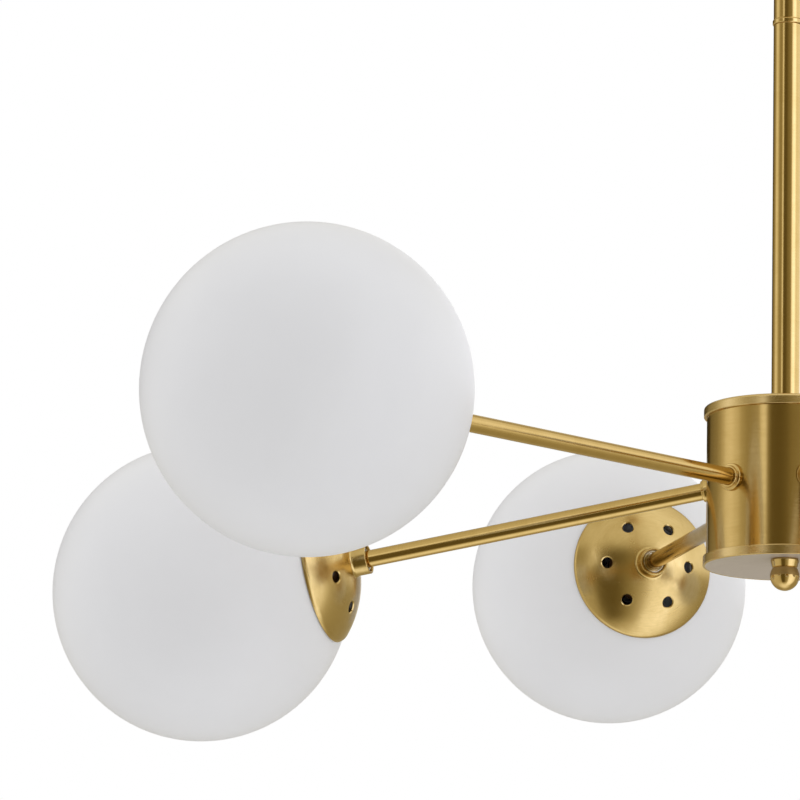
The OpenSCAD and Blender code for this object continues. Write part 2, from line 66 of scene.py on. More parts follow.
def addCamera():
    data = bpy.data.cameras.new("photoCamera")
    data.lens = viewpoint["lens"]
    data.sensor_width = viewpoint["sensor"]
    data.clip_start, data.clip_end = viewpoint["clip"]
    camera = bpy.data.objects.new("photoCamera", data)
    bpy.context.scene.collection.objects.link(camera)
    right = Vector(viewpoint["right"]).normalized()
    up = Vector(viewpoint["up"]).normalized()
    turn = Matrix((right, up, right.cross(up))).transposed().to_4x4()
    camera.matrix_world = Matrix.Translation(viewpoint["place"]) @ turn
    bpy.context.scene.camera = camera


addCamera()
print("camera placed")


# small node helpers

def addNode(tree, kind, inputs=None, **settings):
    node = tree.nodes.new(kind)
    for key, value in settings.items():
        setattr(node, key, value)
    for key, value in (inputs or {}).items():
        if isinstance(value, bpy.types.NodeSocket):
            tree.links.new(value, node.inputs[key])
        else:
            node.inputs[key].default_value = value
    return node


def calculate(tree, operation, *values):
    inputs = {k: v for k, v in enumerate(values)}
    return addNode(tree, "ShaderNodeMath", inputs, operation=operation).outputs[0]


def spread(tree, value, fromLow, fromHigh, toLow, toHigh):
    inputs = {"Value": value, "From Min": fromLow, "From Max": fromHigh,
              "To Min": toLow, "To Max": toHigh}
    return addNode(tree, "ShaderNodeMapRange", inputs).outputs[0]


def levelRamp(tree, factor, stops):
    ramp = addNode(tree, "ShaderNodeValToRGB", {"Fac": factor})
    ramp.color_ramp.interpolation = "EASE"
    elements = ramp.color_ramp.elements
    while len(elements) > 1:
        elements.remove(elements[-1])
    elements[0].position = stops[0][0]
    elements[0].color = (*[stops[0][1]] * 3, 1)
    for place, level in stops[1:]:
        elements.new(place).color = (level, level, level, 1)
    return ramp.outputs["Color"]


# studio: levels of light round the object, by the angle from the camera's side towards the left
studio = {
    "front": (0.2130, -0.9771, 0),
    "left": (-0.9771, -0.2130, 0),
    "middle": [(-180, 1.1), (-165, 1.1), (-145, 1.2), (-125, 1.0), (-104, 1.05), (-90, 0.97),
               (-80, 1.1), (-68, 1.6), (-50, 1.5), (-42, 0.95), (-36, 0.32), (-12, 0.24),
               (0, 0.15), (8, 0.125), (20, 0.13), (26, 0.3), (28.5, 0.98), (35, 0.9),
               (39.5, 0.4), (48, 0.33), (57, 0.32), (65, 0.42), (76, 0.7), (87, 0.88),
               (96, 0.82), (104, 0.56), (112, 0.38), (122, 0.26), (140, 0.18), (150, 0.03),
               (174, 0.03), (180, 0.9)],
    "low": [(-180, 0.42), (-150, 0.36), (-112, 0.38), (-98, 0.46), (-86, 1.05), (-60, 1.3),
            (-38, 1.2), (-28, 0.5), (-10, 0.3), (4, 0.12), (26, 0.12), (36, 0.5), (60, 0.6),
            (100, 0.62), (125, 0.5), (150, 0.35), (180, 0.42)],
    "high": [(-180, 0.5), (-140, 0.5), (-115, 0.82), (-90, 0.92), (-58, 0.96), (-30, 0.76),
             (0, 0.69), (40, 0.66), (75, 0.58), (120, 0.55), (180, 0.52)],
    "lowStarts": (11, 3),       # where each ring hands over to the next, in degrees of height
    "highStarts": (23, 33),
    "underStarts": (-52, -80),
    "under": 1.0,
    "tint": (1.0, 1.12, 1.6),    # dim parts of the studio are warm and its bright panels cool
    "secondBounce": 0.75,        # what is left of the panels in a reflection of a reflection
    "dim": (-0.071, -0.988, 0.14),    # the soft light is weakest towards here
    "ambient": 1.03,
    "ambientMost": 1.12,         # and never stronger than this
    "ambientDim": -0.45,
    "ambientKept": 0.5,          # what is left of the soft light on glass seen in brass
    "floorZ": -1.15,
    "floorSize": 14,
    "floorPaint": 0.82,
    "floorGlow": 0.26,           # lifts the floor that the camera sees, and lights nothing
}
white = (1, 1, 1, 1)


def levelRing(tree, around, name):
    return levelRamp(tree, around, [(a / 360 + 0.5, v) for a, v in studio[name]])


def buildWorld():
    world = bpy.data.worlds.new("studioWorld")
    bpy.context.scene.world = world
    world.use_nodes = True
    tree = world.node_tree
    tree.nodes.clear()
    direction = addNode(tree, "ShaderNodeTexCoord").outputs["Generated"]
    towards = [addNode(tree, "ShaderNodeVectorMath", {0: direction, 1: studio[side]},
                       operation="DOT_PRODUCT").outputs["Value"] for side in ("front", "left", "dim")]
    angle = calculate(tree, "ARCTAN2", towards[1], towards[0])
    around = spread(tree, angle, -math.pi, math.pi, 0, 1)
    height = addNode(tree, "ShaderNodeSeparateXYZ", {0: direction}).outputs["Z"]
    lift = calculate(tree, "MULTIPLY", calculate(tree, "ARCSINE", height), 180 / math.pi)
    level = levelRing(tree, around, "middle")
    for name, starts in (("low", "lowStarts"), ("high", "highStarts"), (None, "underStarts")):
        share = spread(tree, lift, *studio[starts], 0, 1)
        other = levelRing(tree, around, name) if name else studio["under"]
        level = addNode(tree, "ShaderNodeMix", {0: share, 2: level, 3: other}).outputs[0]
    rays = addNode(tree, "ShaderNodeLightPath").outputs
    twice = calculate(tree, "GREATER_THAN", rays["Glossy Depth"], 1.5)
    kept = calculate(tree, "MULTIPLY_ADD", twice, studio["secondBounce"] - 1, 1)
    level = calculate(tree, "MULTIPLY", level, kept)
    channels = [calculate(tree, "POWER", level, power) for power in studio["tint"]]
    panels = addNode(tree, "ShaderNodeCombineColor", dict(enumerate(channels)))
    soft = calculate(tree, "MULTIPLY_ADD", towards[2], studio["ambientDim"],
                     studio["ambient"])
    soft = calculate(tree, "MINIMUM", soft, studio["ambientMost"])
    mirrored = calculate(tree, "GREATER_THAN", rays["Glossy Depth"], 0.5)
    soft = calculate(tree, "MULTIPLY", soft, calculate(
        tree, "MULTIPLY_ADD", mirrored, studio["ambientKept"] - 1, 1))
    glossy = addNode(tree, "ShaderNodeBackground", {"Color": panels.outputs[0]})
    ambient = addNode(tree, "ShaderNodeBackground", {"Color": white, "Strength": soft})
    backdrop = addNode(tree, "ShaderNodeBackground", {"Color": white, "Strength": 1})
    lit = addNode(tree, "ShaderNodeMixShader",
                  {0: rays["Is Glossy Ray"], 1: ambient.outputs[0], 2: glossy.outputs[0]})
    plain = calculate(tree, "MAXIMUM", rays["Is Camera Ray"], rays["Is Transmission Ray"])
    shown = addNode(tree, "ShaderNodeMixShader",
                    {0: plain, 1: lit.outputs[0], 2: backdrop.outputs[0]})
    addNode(tree, "ShaderNodeOutputWorld", {"Surface": shown.outputs[0]})


lamps = [  # name, place, size in metres, watts
    ("keyLamp", (-2.0, -1.0, 1.2), 1.4, 9),
    ("fillLamp", (2.0, -0.9, 0.3), 1.8, 4),
    ("backLamp", (0.4, 2.4, 0.9), 1.8, 4),
]


def addLamps():
    aim = Vector((0, 0, -0.45))
    for name, place, size, watts in lamps:
        data = bpy.data.lights.new(name, "AREA")
        data.shape = "DISK"
        data.size = size
        data.energy = watts
        lamp = bpy.data.objects.new(name, data)
        lamp.location = place
        lamp.rotation_euler = (aim - Vector(place)).to_track_quat("-Z", "Y").to_euler()
        lamp.visible_glossy = False
        bpy.context.scene.collection.objects.link(lamp)


def addFloor():
    half = studio["floorSize"] / 2
    mesh = bpy.data.meshes.new("floor")
    corners = [(-half, -half), (half, -half), (half, half), (-half, half)]
    mesh.from_pydata([(x, y, studio["floorZ"]) for x, y in corners], [], [(0, 1, 2, 3)])
    floor = bpy.data.objects.new("floor", mesh)
    floor.visible_glossy = False
    bpy.context.scene.collection.objects.link(floor)
    material = bpy.data.materials.new("paleFloor")
    material.use_nodes = True
    tree = material.node_tree
    tree.nodes.clear()
    paint = addNode(tree, "ShaderNodeBsdfPrincipled",
                    {"Base Color": (*[studio["floorPaint"]] * 3, 1), "Roughness": 0.8})
    rays = addNode(tree, "ShaderNodeLightPath").outputs
    lift = calculate(tree, "MULTIPLY", rays["Is Camera Ray"], studio["floorGlow"])
    glow = addNode(tree, "ShaderNodeEmission", {"Color": white, "Strength": lift})
    both = addNode(tree, "ShaderNodeAddShader", {0: paint.outputs[0], 1: glow.outputs[0]})
    clear = addNode(tree, "ShaderNodeBsdfTransparent")
    below = addNode(tree, "ShaderNodeNewGeometry").outputs["Backfacing"]
    side = addNode(tree, "ShaderNodeMixShader",
                   {0: below, 1: both.outputs[0], 2: clear.outputs[0]})
    addNode(tree, "ShaderNodeOutputMaterial", {"Surface": side.outputs[0]})
    mesh.materials.append(material)


buildWorld()
addLamps()
addFloor()
bpy.context.scene.view_settings.view_transform = "Standard"
print("studio lit")


# effects that several finishes share

def newGroup(name, inputs, outputs):
    tree = bpy.data.node_groups.new(name, "ShaderNodeTree")
    for label, kind, value in inputs:
        socket = tree.interface.new_socket(name=label, in_out="INPUT", socket_type=kind)
        if value is not None:
            socket.default_value = value
    for label, kind in outputs:
        tree.interface.new_socket(name=label, in_out="OUTPUT", socket_type=kind)
    source = tree.nodes.new("NodeGroupInput")
    result = tree.nodes.new("NodeGroupOutput")
    return tree, source.outputs, result.inputs


def turnedGrainGroup():
    # fine lines that run round a turned piece, from its own UV map: U round it, V along it in metres
    tree, given, wanted = newGroup(
        "turnedGrain",
        [("Turn Map", "NodeSocketVector", None), ("Lines", "NodeSocketFloat", 1500),
         ("Run", "NodeSocketFloat", 2.0), ("Contrast", "NodeSocketFloat", 0.5)],
        [("Grain", "NodeSocketFloat")])
    parts = addNode(tree, "ShaderNodeSeparateXYZ", {0: given["Turn Map"]}).outputs
    turn = calculate(tree, "MULTIPLY", parts["X"], 2 * math.pi)
    east = calculate(tree, "MULTIPLY", calculate(tree, "COSINE", turn), given["Run"])
    north = calculate(tree, "MULTIPLY", calculate(tree, "SINE", turn), given["Run"])
    along = calculate(tree, "MULTIPLY", parts["Y"], given["Lines"])
    point = addNode(tree, "ShaderNodeCombineXYZ", {"X": east, "Y": north, "Z": along})
    noise = addNode(tree, "ShaderNodeTexNoise",
                    {"Vector": point.outputs[0], "Scale": 1, "Detail": 4, "Roughness": 0.62})
    half = calculate(tree, "MULTIPLY", given["Contrast"], 0.5)
    low = calculate(tree, "SUBTRACT", 0.5, half)
    high = calculate(tree, "ADD", 0.5, half)
    ranged = spread(tree, noise.outputs["Fac"], 0.32, 0.68, low, high)
    tree.links.new(ranged, wanted["Grain"])
    return tree


def handPolishGroup():
    # slow uneven patches left by polishing, in object space
    tree, given, wanted = newGroup(
        "handPolish",
        [("Point", "NodeSocketVector", None), ("Patches", "NodeSocketFloat", 45),
         ("Smear", "NodeSocketFloat", 1.2)],
        [("Cloud", "NodeSocketFloat")])
    noise = addNode(tree, "ShaderNodeTexNoise",
                    {"Vector": given["Point"], "Scale": given["Patches"], "Detail": 3,
                     "Roughness": 0.55, "Distortion": given["Smear"]})
    ranged = spread(tree, noise.outputs["Fac"], 0.3, 0.7, 0, 1)
    tree.links.new(ranged, wanted["Cloud"])
    return tree


def speckleGroup():
    # fine even tooth of a blasted, moulded or etched surface, in object space
    tree, given, wanted = newGroup(
        "speckle",
        [("Point", "NodeSocketVector", None), ("Fineness", "NodeSocketFloat", 1600)],
        [("Tooth", "NodeSocketFloat")])
    noise = addNode(tree, "ShaderNodeTexNoise",
                    {"Vector": given["Point"], "Scale": given["Fineness"], "Detail": 2,
                     "Roughness": 0.5})
    ranged = spread(tree, noise.outputs["Fac"], 0.25, 0.75, 0, 1)
    tree.links.new(ranged, wanted["Tooth"])
    return tree


turnedGrain = turnedGrainGroup()
handPolish = handPolishGroup()
speckle = speckleGroup()


def newMaterial(name, plain):
    material = bpy.data.materials.new(name)
    material.use_nodes = True
    tree = material.node_tree
    tree.nodes.clear()
    surface = addNode(tree, "ShaderNodeBsdfPrincipled", plain)
    addNode(tree, "ShaderNodeOutputMaterial", {"Surface": surface.outputs[0]})
    return material, tree, surface.inputs


def useGroup(tree, group, inputs):
    return addNode(tree, "ShaderNodeGroup", inputs, node_tree=group).outputs[0]


def blendColours(tree, factor, first, second):
    inputs = {"Factor": factor, 6: (*first, 1), 7: (*second, 1)}
    return addNode(tree, "ShaderNodeMix", inputs, data_type="RGBA").outputs[2]


def bumpFrom(tree, height, strength, depth):
    return addNode(tree, "ShaderNodeBump", {"Height": height, "Strength": strength,
                                            "Distance": depth}).outputs[0]


# turned metals: colours are linear, depth is the height of the grain in millimetres
turnedDefaults = {"metal": 1, "coat": 0.1}
metals = {
    "brassWall": {"colour": (0.80, 0.575, 0.235), "shade": (0.69, 0.475, 0.165),
                  "lines": 1500, "run": 2.5, "contrast": 0.9, "rough": (0.11, 0.18),
                  "depth": 0.012, "patches": 40},
    "brassTube": {"colour": (0.80, 0.575, 0.235), "shade": (0.70, 0.485, 0.17),
                  "lines": 1200, "run": 1.2, "contrast": 0.7, "rough": (0.09, 0.17),
                  "depth": 0.008, "patches": 60},
    "brassSpun": {"colour": (0.80, 0.595, 0.26), "shade": (0.68, 0.48, 0.175),
                  "lines": 900, "run": 5.0, "contrast": 0.8, "rough": (0.16, 0.30),
                  "depth": 0.006, "patches": 70},
    "brassBright": {"colour": (0.82, 0.595, 0.25), "shade": (0.71, 0.49, 0.18),
                    "lines": 2600, "run": 1.5, "contrast": 0.4, "rough": (0.07, 0.14),
                    "depth": 0.003, "patches": 120},
    "brassBand": {"colour": (0.93, 0.71, 0.36), "shade": (0.85, 0.63, 0.29),
                  "lines": 2200, "run": 2.5, "contrast": 0.9, "rough": (0.20, 0.30),
                  "depth": 0.01, "patches": 60},
    "paleSatin": {"colour": (0.57, 0.495, 0.43), "shade": (0.52, 0.45, 0.385),
                  "lines": 1100, "run": 4.0, "contrast": 0.6, "rough": (0.34, 0.46),
                  "depth": 0.004, "patches": 50, "metal": 0.3, "coat": 0},
    "nickelPlate": {"colour": (0.86, 0.84, 0.79), "shade": (0.74, 0.72, 0.67),
                    "lines": 2400, "run": 1.5, "contrast": 0.4, "rough": (0.08, 0.16),
                    "depth": 0.002, "patches": 150, "coat": 0},
}


def turnedMetal(name):
    look = {**turnedDefaults, **metals[name]}
    material, tree, surface = newMaterial(name, {
        "Metallic": look["metal"], "Coat Weight": look["coat"], "Coat Roughness": 0.12})
    turnMap = addNode(tree, "ShaderNodeUVMap", uv_map="turn").outputs[0]
    point = addNode(tree, "ShaderNodeTexCoord").outputs["Object"]
    grain = useGroup(tree, turnedGrain, {"Turn Map": turnMap, "Lines": look["lines"],
                                         "Run": look["run"], "Contrast": look["contrast"]})
    cloud = useGroup(tree, handPolish, {"Point": point, "Patches": look["patches"]})
    worn = calculate(tree, "MULTIPLY_ADD", cloud, 0.55, calculate(tree, "MULTIPLY", grain, 0.45))
    tree.links.new(blendColours(tree, worn, look["colour"], look["shade"]),
                   surface["Base Color"])
    tree.links.new(spread(tree, worn, 0, 1, *look["rough"]), surface["Roughness"])
    tree.links.new(bumpFrom(tree, grain, 0.5, look["depth"] * mm), surface["Normal"])
    return material


# finishes without a turning mark: tooth is the fineness of the surface, depth its height
plainDefaults = {"metal": 0, "coat": 0}
plainFinishes = {
    "zincPlate": {"colour": (0.50, 0.53, 0.56), "deep": (0.40, 0.42, 0.44), "metal": 1,
                  "rough": (0.28, 0.42), "patches": 260, "tooth": 1800, "depth": 0.01},
    "brassCast": {"colour": (0.79, 0.565, 0.23), "deep": (0.68, 0.465, 0.16), "metal": 1,
                  "rough": (0.14, 0.24), "patches": 160, "tooth": 1500, "depth": 0.008,
                  "coat": 0.1},
    "greenPaint": {"colour": (0.02, 0.20, 0.06), "deep": (0.015, 0.15, 0.045), "coat": 0.2,
                   "rough": (0.28, 0.4), "patches": 300, "tooth": 1200, "depth": 0.01},
    "glazedCeramic": {"colour": (0.76, 0.73, 0.66), "deep": (0.70, 0.66, 0.59), "coat": 0.4,
                      "rough": (0.12, 0.24), "patches": 90, "tooth": 900, "depth": 0.01},
    # the lampholders' dark brown is painted shade on a ceramic body: it stands in for the warm shade
    # inside the cups that shows through the vents
    "brownGlaze": {"colour": (0.17, 0.085, 0.035), "deep": (0.12, 0.055, 0.02),
                   "rough": (0.2, 0.3), "patches": 90, "tooth": 900, "depth": 0.01},
    "leadSheath": {"colour": (0.72, 0.69, 0.60), "deep": (0.64, 0.61, 0.53),
                   "rough": (0.45, 0.6), "patches": 120, "tooth": 1500, "depth": 0.02},
    "mouldedOrange": {"colour": (0.70, 0.13, 0.015), "deep": (0.58, 0.10, 0.012),
                      "rough": (0.35, 0.5), "patches": 200, "tooth": 1400, "depth": 0.02},
}


def plainFinish(name):
    look = {**plainDefaults, **plainFinishes[name]}
    material, tree, surface = newMaterial(name, {
        "Metallic": look["metal"], "Coat Weight": look["coat"], "Coat Roughness": 0.1})
    point = addNode(tree, "ShaderNodeTexCoord").outputs["Object"]
    cloud = useGroup(tree, handPolish, {"Point": point, "Patches": look["patches"]})
    tooth = useGroup(tree, speckle, {"Point": point, "Fineness": look["tooth"]})
    tree.links.new(blendColours(tree, cloud, look["colour"], look["deep"]),
                   surface["Base Color"])
    tree.links.new(spread(tree, cloud, 0, 1, *look["rough"]), surface["Roughness"])
    tree.links.new(bumpFrom(tree, tooth, 0.5, look["depth"] * mm), surface["Normal"])
    return material


glasses = {
    "opalGlass": {"colour": (0.835, 0.835, 0.85), "deep": (0.81, 0.81, 0.826),
                  "rough": (0.34, 0.42), "patches": 14, "tooth": 2600, "depth": 0.012,
                  "soft": 0.2, "shine": 0.2},
    "frostedGlass": {"colour": (0.88, 0.87, 0.83), "deep": (0.85, 0.84, 0.80),
                     "rough": (0.34, 0.44), "patches": 60, "tooth": 3000, "depth": 0.008,
                     "soft": 0.3, "shine": 0.4},
}


etching = {"scatter": 4, "smear": 0.4, "bump": 0.35}


def etchedGlass(name):
    look = glasses[name]
    material, tree, surface = newMaterial(name, {
        "Subsurface Weight": look["soft"], "Subsurface Radius": (1, 1, 1),
        "Subsurface Scale": etching["scatter"] * mm, "Specular IOR Level": look["shine"]})
    point = addNode(tree, "ShaderNodeTexCoord").outputs["Object"]
    cloud = useGroup(tree, handPolish, {"Point": point, "Patches": look["patches"],
                                        "Smear": etching["smear"]})
    tooth = useGroup(tree, speckle, {"Point": point, "Fineness": look["tooth"]})
    tree.links.new(blendColours(tree, cloud, look["colour"], look["deep"]),
                   surface["Base Color"])
    tree.links.new(spread(tree, tooth, 0, 1, *look["rough"]), surface["Roughness"])
    tree.links.new(bumpFrom(tree, tooth, etching["bump"], look["depth"] * mm),
                   surface["Normal"])
    return material


finish = {name: turnedMetal(name) for name in metals}
finish.update({name: plainFinish(name) for name in plainFinishes})
finish.update({name: etchedGlass(name) for name in glasses})
print("finishes mixed:", len(finish))


# mesh helpers

def arcPoints(centreR, centreZ, radius, fromAngle, toAngle, steps):
    turn = [math.radians(fromAngle + (toAngle - fromAngle) * k / steps)
            for k in range(steps + 1)]
    return [(centreR + radius * math.cos(a), centreZ + radius * math.sin(a)) for a in turn]


def roundedOutline(corners, steps=4):
    # corners are (radius from the axis, height, rounding); a rounding of 0 stays sharp
    outline = []
    count = len(corners)
    for k, (r, z, rounding) in enumerate(corners):
        here = Vector((r, z))
        if not rounding:
            outline.append((r, z))
            continue
        back = (Vector(corners[k - 1][:2]) - here).normalized()
        ahead = (Vector(corners[(k + 1) % count][:2]) - here).normalized()
        half = back.angle(ahead) / 2
        centre = here + (back + ahead).normalized() * rounding / math.sin(half)
        start = here + back * rounding / math.tan(half) - centre
        end = here + ahead * rounding / math.tan(half) - centre
        sweep = start.angle_signed(end)
        for step in range(steps + 1):
            spoke = start.copy()
            spoke.rotate(Matrix.Rotation(-sweep * step / steps, 2))
            outline.append(tuple(centre + spoke))
    return outline


def meshFrom(build, name, smoothAngle=35):
    mesh = bpy.data.meshes.new(name)
    bmesh.ops.recalc_face_normals(build, faces=build.faces)
    build.to_mesh(mesh)
    build.free()
    mesh.shade_smooth()
    mesh.set_sharp_from_angle(angle=math.radians(smoothAngle))
    return mesh


def steadyOutline(outline, reach=0.25):
    # extra points near the ends of long straight faces, so that small roundings don't bend
    # the shading of the whole face
    steady = []
    for k, (here, after) in enumerate(zip(outline, outline[1:] + outline[:1])):
        steady.append(here)
        run = Vector(after) - Vector(here)
        if run.length < 6 * reach:
            continue
        step = run.normalized() * reach
        if math.dist(outline[k - 1], here) < run.length / 3:
            steady.append(tuple(Vector(here) + step))
        if math.dist(after, outline[(k + 2) % len(outline)]) < run.length / 3:
            steady.append(tuple(Vector(after) - step))
    return steady


def latheMesh(name, outline, segments=128, ribs=None):
    # outline is a closed loop of (radius, height) in millimetres, ribs is (count, depth, low, high)
    outline = steadyOutline(outline)
    build = bmesh.new()
    turnMap = build.loops.layers.uv.new("turn")
    rings = []
    for r, z in outline:
        if r < 1e-6:
            rings.append([build.verts.new((0, 0, z * mm))] * segments)
            continue
        ring = []
        for k in range(segments):
            a = 2 * math.pi * k / segments
            out = r
            if ribs and ribs[2] <= z <= ribs[3]:
                out = r + ribs[1] * (math.cos(a * ribs[0]) - 1) / 2
            ring.append(build.verts.new((out * math.cos(a) * mm, out * math.sin(a) * mm, z * mm)))
        rings.append(ring)
    length = 0
    for k in range(len(outline)):
        near, far = rings[k], rings[(k + 1) % len(outline)]
        step = math.dist(outline[k], outline[(k + 1) % len(outline)]) * mm
        for s in range(segments):
            t = (s + 1) % segments
            corners = [(near[s], s, length), (far[s], s, length + step),
                       (far[t], s + 1, length + step), (near[t], s + 1, length)]
            used = []
            for corner in corners:
                if corner[0] not in [c[0] for c in used]:
                    used.append(corner)
            if len(used) < 3:
                continue
            face = build.faces.new([c[0] for c in used])
            for loop in face.loops:
                hit = next(c for c in used if c[0] == loop.vert)
                loop[turnMap].uv = (hit[1] / segments, hit[2])
        length += step
    return meshFrom(build, name)


def markTurned(mesh):
    # a turn map for a mesh round its own Z axis, from its vertices
    layer = mesh.uv_layers.get("turn") or mesh.uv_layers.new(name="turn")
    for face in mesh.polygons:
        turns = []
        for index in face.loop_indices:
            co = mesh.vertices[mesh.loops[index].vertex_index].co
            turns.append((math.atan2(co.y, co.x) / (2 * math.pi) % 1, co.xy.length + co.z))
        wraps = max(t[0] for t in turns) - min(t[0] for t in turns) > 0.5
        for index, (turn, along) in zip(face.loop_indices, turns):
            layer.data[index].uv = (turn + 1 if wraps and turn < 0.5 else turn, along)


def addPiece(name, mesh, looks, body, replaced, place=None):
    if place is not None:
        mesh.transform(place)
    mesh.name = name
    mesh.materials.clear()
    for look in looks:
        mesh.materials.append(finish[look])
    piece = bpy.data.objects.new(name, mesh)
    bpy.context.scene.collection.objects.link(piece)
    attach(piece, body)
    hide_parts(*replaced)
    return piece


easing = {"weld": 1e-6, "flatWithin": 1, "bevelFrom": 30, "smoothWithin": 32}


def easedCopy(node, width, look, body):
    # a CAD node's shape with its edges broken, in place of the node
    mesh = nodes[node].data.copy()
    build = bmesh.new()
    build.from_mesh(mesh)
    bmesh.ops.remove_doubles(build, verts=build.verts, dist=easing["weld"])
    bmesh.ops.dissolve_limit(build, angle_limit=math.radians(easing["flatWithin"]),
                             verts=build.verts, edges=build.edges)
    sharp = [e for e in build.edges if e.is_manifold
             and e.calc_face_angle(0) > math.radians(easing["bevelFrom"])]
    bmesh.ops.bevel(build, geom=sharp, offset=width * mm, segments=2, profile=0.5,
                    affect="EDGES", clamp_overlap=True)
    build.to_mesh(mesh)
    build.free()
    mesh.shade_smooth()
    mesh.set_sharp_from_angle(angle=math.radians(easing["smoothWithin"]))
    markTurned(mesh)
    return addPiece(node + "Finished", mesh, [look], body, [node])


# geometry node trees for what repeats

def newTree(name, inputs):
    tree = bpy.data.node_groups.new(name, "GeometryNodeTree")
    tree.is_modifier = True
    tree.interface.new_socket(name="Piece", in_out="INPUT", socket_type="NodeSocketGeometry")
    for label, kind in inputs:
        tree.interface.new_socket(name=label, in_out="INPUT", socket_type=kind)
    tree.interface.new_socket(name="Result", in_out="OUTPUT", socket_type="NodeSocketGeometry")
    source = tree.nodes.new("NodeGroupInput")
    result = tree.nodes.new("NodeGroupOutput")
    return tree, source.outputs, result.inputs["Result"]


def roundTree():
    # copies of a piece at even steps round Z, lifted, with anything else welded on
    tree, given, result = newTree("repeatRound", [
        ("Count", "NodeSocketInt"), ("First Turn", "NodeSocketFloat"),
        ("Lift", "NodeSocketFloat"), ("Joined To", "NodeSocketObject"),
        ("Material", "NodeSocketMaterial")])
    points = addNode(tree, "GeometryNodeMeshLine",
                     {"Count": given["Count"], "Offset": (0, 0, 0),
                      "Start Location": (0, 0, 0)})
    index = addNode(tree, "GeometryNodeInputIndex").outputs[0]
    step = calculate(tree, "DIVIDE", 2 * math.pi, given["Count"])
    turn = calculate(tree, "MULTIPLY_ADD", index, step, given["First Turn"])
    spin = addNode(tree, "ShaderNodeCombineXYZ", {"Z": turn}).outputs[0]
    raised = addNode(tree, "ShaderNodeCombineXYZ", {"Z": given["Lift"]}).outputs[0]
    lifted = addNode(tree, "GeometryNodeTransform",
                     {"Geometry": given["Piece"], "Translation": raised})
    copies = addNode(tree, "GeometryNodeInstanceOnPoints",
                     {"Points": points.outputs[0], "Instance": lifted.outputs[0],
                      "Rotation": spin})
    other = addNode(tree, "GeometryNodeObjectInfo", {"Object": given["Joined To"]})
    joined = addNode(tree, "GeometryNodeJoinGeometry")
    tree.links.new(copies.outputs[0], joined.inputs[0])
    tree.links.new(other.outputs["Geometry"], joined.inputs[0])
    real = addNode(tree, "GeometryNodeRealizeInstances", {0: joined.outputs[0]})
    welded = addNode(tree, "GeometryNodeMergeByDistance",
                     {"Geometry": real.outputs[0], "Distance": 0.002 * mm})
    coated = addNode(tree, "GeometryNodeSetMaterial",
                     {"Geometry": welded.outputs[0], "Material": given["Material"]})
    tree.links.new(coated.outputs[0], result)
    return tree


def runTree(tree, mesh, values):
    # runs a tree on a mesh and hands back the plain mesh that comes out
    source = bpy.data.objects.new(mesh.name + "Source", mesh)
    bpy.context.scene.collection.objects.link(source)
    modifier = source.modifiers.new(tree.name, "NODES")
    modifier.node_group = tree
    for item in tree.interface.items_tree:
        if item.item_type == "SOCKET" and item.in_out == "INPUT" and item.name in values:
            modifier[item.identifier] = values[item.name]
    graph = bpy.context.evaluated_depsgraph_get()
    made = bpy.data.meshes.new_from_object(source.evaluated_get(graph))
    bpy.data.objects.remove(source)
    return made


repeatRound = roundTree()


# where the arms are, read from the frame: +Z along the arm from the drum's wall
drumLow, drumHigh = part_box("drum_shell")
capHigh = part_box("drum_top_cap")[1]
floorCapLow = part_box("drum_bottom_cap")[0]
drumR = drumHigh.x
armZ = (capHigh.z + floorCapLow.z) / 2
globeR = (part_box("globe_1")[1].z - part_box("globe_1")[0].z) / 2


def armAxis(i):
    joint = next(j for j in frame["joints"] if j["name"] == f"globe_{i}_pull")
    return Vector(joint["axis"]).normalized()


def armPlace(i, along=0):
    axis = armAxis(i)
    turn = math.atan2(axis.y, axis.x)
    droop = math.asin(-axis.z)
    return (Matrix.Translation((0, 0, armZ)) @ Matrix.Rotation(turn, 4, "Z")
            @ Matrix.Translation((drumR, 0, 0)) @ Matrix.Rotation(math.pi / 2 + droop, 4, "Y")
            @ Matrix.Translation((0, 0, along)))


def globeReach(i):
    # the globe's centre, from the side of its box away from the neck
    low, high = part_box(f"globe_{i}")
    axis = armAxis(i)
    centre = (low + high) / 2
    for k in (0, 1):
        if abs(axis[k]) > 0.01:
            centre[k] = high[k] - globeR if axis[k] > 0 else low[k] + globeR
    return (armPlace(i).inverted() @ centre).z


# globes: heights from here on are from the cup's rim, towards the globe
globe = {"wall": 3.0, "neckR": 28.0, "neckWall": 3.0, "neckEnd": -6.69, "seatGap": 0.3,
         "cupR": 38.0, "rimLand": 0.4, "blend": 1.6, "lip": 0.8}
rimToCentre = math.sqrt((globeR / mm + globe["seatGap"]) ** 2
                        - (globe["cupR"] - globe["rimLand"]) ** 2)


def rimReach(i):
    return globeReach(i) - rimToCentre * mm


def rimPlace(i):
    return armPlace(i, rimReach(i))


def globeMesh():
    outer = globeR / mm
    inner = outer - globe["wall"]
    neckIn = globe["neckR"] - globe["neckWall"]
    blendR = globe["neckR"] + globe["blend"]
    blendZ = rimToCentre - math.sqrt((outer + globe["blend"]) ** 2 - blendR ** 2)
    meet = math.degrees(math.atan2(blendZ - rimToCentre, blendR))
    mouth = -math.degrees(math.acos(neckIn / inner))
    end = globe["neckEnd"]
    lip = globe["lip"]
    outline = arcPoints(neckIn + lip, end + lip, lip, 180, 270, 4)
    outline += arcPoints(globe["neckR"] - lip, end + lip, lip, 270, 360, 4)
    outline += arcPoints(blendR, blendZ, globe["blend"], 180, 180 + meet, 5)
    outline += arcPoints(0, rimToCentre, outer, meet, 90, 72)[1:-1] + [(0, rimToCentre + outer)]
    outline += [(0, rimToCentre + inner)]
    outline += arcPoints(0, rimToCentre, inner, 90, mouth, 60)[1:]
    return latheMesh("globe", outline, 144)


def buildGlobes():
    for i in armNumbers:
        addPiece(f"globe_{i}_glass", globeMesh(), ["opalGlass"], f"shade_{i}",
                 [f"globe_{i}"], rimPlace(i))


buildGlobes()
print("globes blown")


